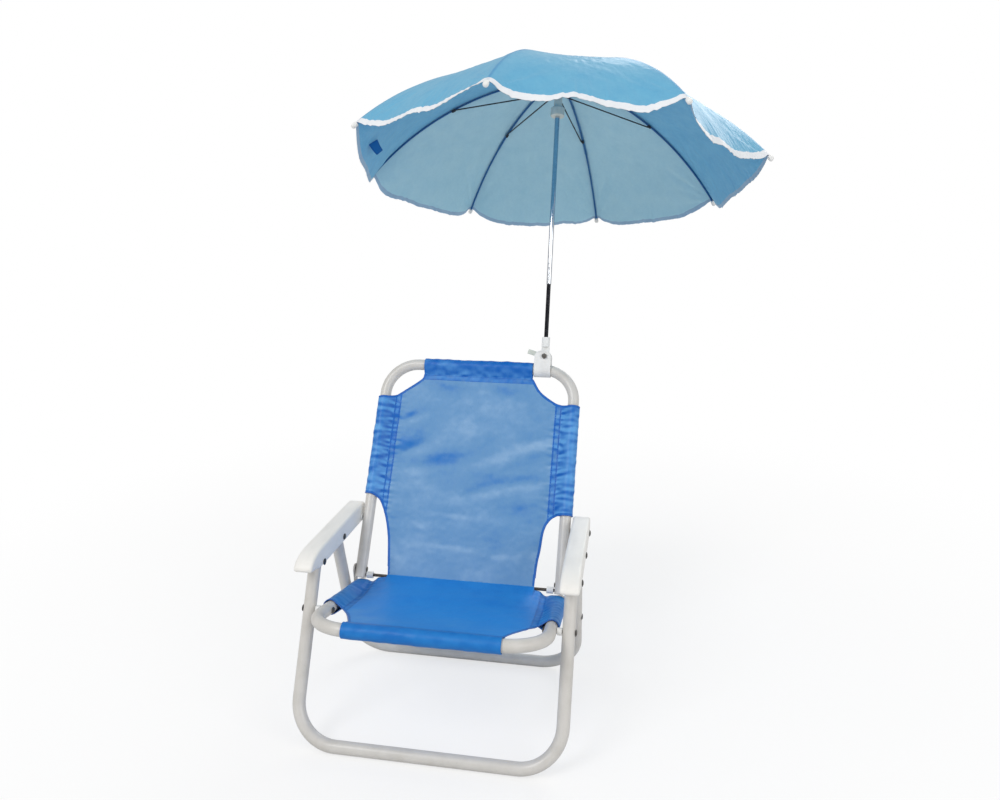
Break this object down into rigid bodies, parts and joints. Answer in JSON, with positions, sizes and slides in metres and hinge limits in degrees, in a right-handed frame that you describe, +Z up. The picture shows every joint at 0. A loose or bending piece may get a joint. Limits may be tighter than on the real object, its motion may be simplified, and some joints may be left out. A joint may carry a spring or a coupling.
{
  "type": "folding beach chair with umbrella",
  "caption": "Low folding beach chair for a child: bent-tube frame, moulded armrests, cloth seat and back, and a small umbrella clamped to the top bar.",
  "frame": {"origin": "centre of the bounding box on the floor", "axes": "+Z up along the height, the chair faces -Y, +X is the chair's left-to-right as seen from the front"},
  "size_m": [0.7354, 0.8846, 1.0111],
  "materials": {
    "frame_paint": "satin",
    "white_plastic": "satin",
    "dark_steel": "satin",
    "blue_cloth": "sheen",
    "pale_cloth": "matte",
    "chrome": "polished"
  },
  "bodies": {
    "front_legs": {"front_leg_frame": "frame_paint", "seat_bolt_left": "dark_steel", "seat_bolt_right": "dark_steel", "seat_spacer_left": "white_plastic", "seat_spacer_right": "white_plastic"},
    "arms": {"armrest_left": "white_plastic", "armrest_right": "white_plastic", "arm_front_bolt_left": "dark_steel", "arm_front_bolt_right": "dark_steel", "arm_rear_bolt_left": "dark_steel", "arm_rear_bolt_right": "dark_steel", "arm_back_bolt_left": "dark_steel", "arm_back_bolt_right": "dark_steel", "arm_spacer_left": "white_plastic", "arm_spacer_right": "white_plastic"},
    "rear_legs": {"rear_leg_frame": "frame_paint", "prop_plate_left": "frame_paint", "prop_plate_right": "frame_paint", "prop_rivet_left": "dark_steel", "prop_rivet_right": "dark_steel"},
    "seat": {"seat_frame": "frame_paint", "seat_fabric": "blue_cloth", "hinge_plate_left": "frame_paint", "hinge_plate_right": "frame_paint", "hinge_rivet_left": "dark_steel", "hinge_rivet_right": "dark_steel"},
    "back": {"back_frame": "frame_paint", "back_fabric": "blue_cloth", "cross_rod": "dark_steel", "rod_spacer_left": "white_plastic", "rod_spacer_right": "white_plastic"},
    "clamp": {"clamp_body": "white_plastic", "clamp_bolt": "dark_steel"},
    "nut": {"clamp_nut": "white_plastic"},
    "socket": {"mast_socket": "white_plastic"},
    "lower_mast": {"lower_pole": "chrome"},
    "upper_mast": {"upper_pole": "chrome", "crown": "white_plastic", "top_cap": "white_plastic", "canopy": "pale_cloth"},
    "runner_body": {"runner": "white_plastic"},
    "rib_1_body": {"rib_1": "dark_steel"},
    "stretcher_1_body": {"stretcher_1": "dark_steel"},
    "rib_2_body": {"rib_2": "dark_steel"},
    "stretcher_2_body": {"stretcher_2": "dark_steel"},
    "rib_3_body": {"rib_3": "dark_steel"},
    "stretcher_3_body": {"stretcher_3": "dark_steel"},
    "rib_4_body": {"rib_4": "dark_steel"},
    "stretcher_4_body": {"stretcher_4": "dark_steel"},
    "rib_5_body": {"rib_5": "dark_steel"},
    "stretcher_5_body": {"stretcher_5": "dark_steel"},
    "rib_6_body": {"rib_6": "dark_steel"},
    "stretcher_6_body": {"stretcher_6": "dark_steel"},
    "rib_7_body": {"rib_7": "dark_steel"},
    "stretcher_7_body": {"stretcher_7": "dark_steel"},
    "rib_8_body": {"rib_8": "dark_steel"},
    "stretcher_8_body": {"stretcher_8": "dark_steel"}
  },
  "joints": [
    {"name": "arm_fold", "type": "hinge", "parent": "front_legs", "child": "arms", "pos_m": [-0.1135, -0.3193, 0.24528], "axis": [1, 0, 0], "range_deg": [0, 46.5]},
    {"name": "seat_fold", "type": "hinge", "parent": "front_legs", "child": "seat", "pos_m": [-0.1135, -0.34867, 0.18178], "axis": [1, 0, 0], "range_deg": [0, 47.54]},
    {"name": "back_fold", "type": "hinge", "parent": "seat", "child": "back", "pos_m": [-0.1135, -0.19455, 0.17428], "axis": [1, 0, 0], "range_deg": [-38.99, 0]},
    {"name": "rear_leg_fold", "type": "hinge", "parent": "arms", "child": "rear_legs", "pos_m": [-0.1135, -0.23426, 0.24928], "axis": [1, 0, 0], "range_deg": [-89.31, 0]},
    {"name": "clamp_turn", "type": "hinge", "parent": "back", "child": "clamp", "pos_m": [0, -0.00653, 0.48969], "axis": [1, 0, 0], "range_deg": [-30, 60]},
    {"name": "nut_turn", "type": "hinge", "parent": "clamp", "child": "nut", "pos_m": [0, 0.01292, 0.50864], "axis": [0, 0.9627, -0.2704], "continuous": true},
    {"name": "mast_tilt", "type": "hinge", "parent": "clamp", "child": "socket", "pos_m": [0, -0.00018, 0.51232], "axis": [0, 0.9627, -0.2704], "range_deg": [-35, 35]},
    {"name": "mast_lift", "type": "slide", "parent": "socket", "child": "lower_mast", "axis": [0, 0.2704, 0.9627], "range_m": [0, 0.03]},
    {"name": "pole_part", "type": "slide", "parent": "lower_mast", "child": "upper_mast", "axis": [0, 0.2704, 0.9627], "range_m": [0, 0.06]},
    {"name": "runner_slide", "type": "slide", "parent": "upper_mast", "child": "runner_body", "axis": [0, -0.2704, -0.9627], "range_m": [0, 0.3509], "deforming": ["canopy"]},
    {"name": "rib_1_fold", "type": "hinge", "parent": "upper_mast", "child": "rib_1_body", "pos_m": [-0.00129, 0.12642, 0.9922], "axis": [0.9869, -0.1556, 0.0437], "range_deg": [0, 64.2]},
    {"name": "stretcher_1_fold", "type": "hinge", "parent": "runner_body", "child": "stretcher_1_body", "pos_m": [0.00151, 0.1175, 0.96589], "axis": [-0.9869, 0.1556, -0.0437], "range_deg": [0, 81.99]},
    {"name": "rib_2_fold", "type": "hinge", "parent": "upper_mast", "child": "rib_2_body", "pos_m": [0.00467, 0.12777, 0.99182], "axis": [0.8121, 0.5618, -0.1578], "range_deg": [0, 64.2]},
    {"name": "stretcher_2_fold", "type": "hinge", "parent": "runner_body", "child": "stretcher_2_body", "pos_m": [0.00769, 0.12117, 0.96486], "axis": [-0.8121, -0.5618, 0.1578], "range_deg": [0, 81.99]},
    {"name": "rib_3_fold", "type": "hinge", "parent": "upper_mast", "child": "rib_3_body", "pos_m": [0.00789, 0.13278, 0.99041], "axis": [0.1616, 0.9501, -0.2669], "range_deg": [0, 64.2]},
    {"name": "stretcher_3_fold", "type": "hinge", "parent": "runner_body", "child": "stretcher_3_body", "pos_m": [0.00937, 0.12797, 0.96295], "axis": [-0.1616, -0.9501, 0.2669], "range_deg": [0, 81.99]},
    {"name": "rib_4_fold", "type": "hinge", "parent": "upper_mast", "child": "rib_4_body", "pos_m": [0.0065, 0.13852, 0.9888], "axis": [-0.5835, 0.7818, -0.2196], "range_deg": [0, 64.2]},
    {"name": "stretcher_4_fold", "type": "hinge", "parent": "runner_body", "child": "stretcher_4_body", "pos_m": [0.00556, 0.13392, 0.96128], "axis": [0.5835, -0.7818, 0.2196], "range_deg": [0, 81.99]},
    {"name": "rib_5_fold", "type": "hinge", "parent": "upper_mast", "child": "rib_5_body", "pos_m": [0.00129, 0.14162, 0.98793], "axis": [-0.9869, 0.1556, -0.0437], "range_deg": [0, 64.2]},
    {"name": "stretcher_5_fold", "type": "hinge", "parent": "runner_body", "child": "stretcher_5_body", "pos_m": [-0.00151, 0.13554, 0.96083], "axis": [0.9869, -0.1556, 0.0437], "range_deg": [0, 81.99]},
    {"name": "rib_6_fold", "type": "hinge", "parent": "upper_mast", "child": "rib_6_body", "pos_m": [-0.00467, 0.14028, 0.9883], "axis": [-0.8121, -0.5618, 0.1578], "range_deg": [0, 64.2]},
    {"name": "stretcher_6_fold", "type": "hinge", "parent": "runner_body", "child": "stretcher_6_body", "pos_m": [-0.00769, 0.13187, 0.96186], "axis": [0.8121, 0.5618, -0.1578], "range_deg": [0, 81.99]},
    {"name": "rib_7_fold", "type": "hinge", "parent": "upper_mast", "child": "rib_7_body", "pos_m": [-0.00789, 0.13527, 0.98971], "axis": [-0.1616, -0.9501, 0.2669], "range_deg": [0, 64.2]},
    {"name": "stretcher_7_fold", "type": "hinge", "parent": "runner_body", "child": "stretcher_7_body", "pos_m": [-0.00937, 0.12507, 0.96377], "axis": [0.1616, 0.9501, -0.2669], "range_deg": [0, 81.99]},
    {"name": "rib_8_fold", "type": "hinge", "parent": "upper_mast", "child": "rib_8_body", "pos_m": [-0.0065, 0.12953, 0.99132], "axis": [0.5835, -0.7818, 0.2196], "range_deg": [0, 64.2]},
    {"name": "stretcher_8_fold", "type": "hinge", "parent": "runner_body", "child": "stretcher_8_body", "pos_m": [-0.00556, 0.11912, 0.96544], "axis": [-0.5835, 0.7818, -0.2196], "range_deg": [0, 81.99]}
  ],
  "couplings": [
    {"joint": "seat_fold", "follows": "arm_fold", "ratio": 1.0181},
    {"joint": "back_fold", "follows": "arm_fold", "ratio": -0.83429},
    {"joint": "rear_leg_fold", "follows": "arm_fold", "ratio": -1.9162},
    {"joint": "rib_1_fold", "follows": "runner_slide", "rad_per_m": 3.1833},
    {"joint": "stretcher_1_fold", "follows": "runner_slide", "rad_per_m": 4.0683},
    {"joint": "rib_2_fold", "follows": "runner_slide", "rad_per_m": 3.1833},
    {"joint": "stretcher_2_fold", "follows": "runner_slide", "rad_per_m": 4.0683},
    {"joint": "rib_3_fold", "follows": "runner_slide", "rad_per_m": 3.1833},
    {"joint": "stretcher_3_fold", "follows": "runner_slide", "rad_per_m": 4.0683},
    {"joint": "rib_4_fold", "follows": "runner_slide", "rad_per_m": 3.1833},
    {"joint": "stretcher_4_fold", "follows": "runner_slide", "rad_per_m": 4.0683},
    {"joint": "rib_5_fold", "follows": "runner_slide", "rad_per_m": 3.1833},
    {"joint": "stretcher_5_fold", "follows": "runner_slide", "rad_per_m": 4.0683},
    {"joint": "rib_6_fold", "follows": "runner_slide", "rad_per_m": 3.1833},
    {"joint": "stretcher_6_fold", "follows": "runner_slide", "rad_per_m": 4.0683},
    {"joint": "rib_7_fold", "follows": "runner_slide", "rad_per_m": 3.1833},
    {"joint": "stretcher_7_fold", "follows": "runner_slide", "rad_per_m": 4.0683},
    {"joint": "rib_8_fold", "follows": "runner_slide", "rad_per_m": 3.1833},
    {"joint": "stretcher_8_fold", "follows": "runner_slide", "rad_per_m": 4.0683}
  ]
}
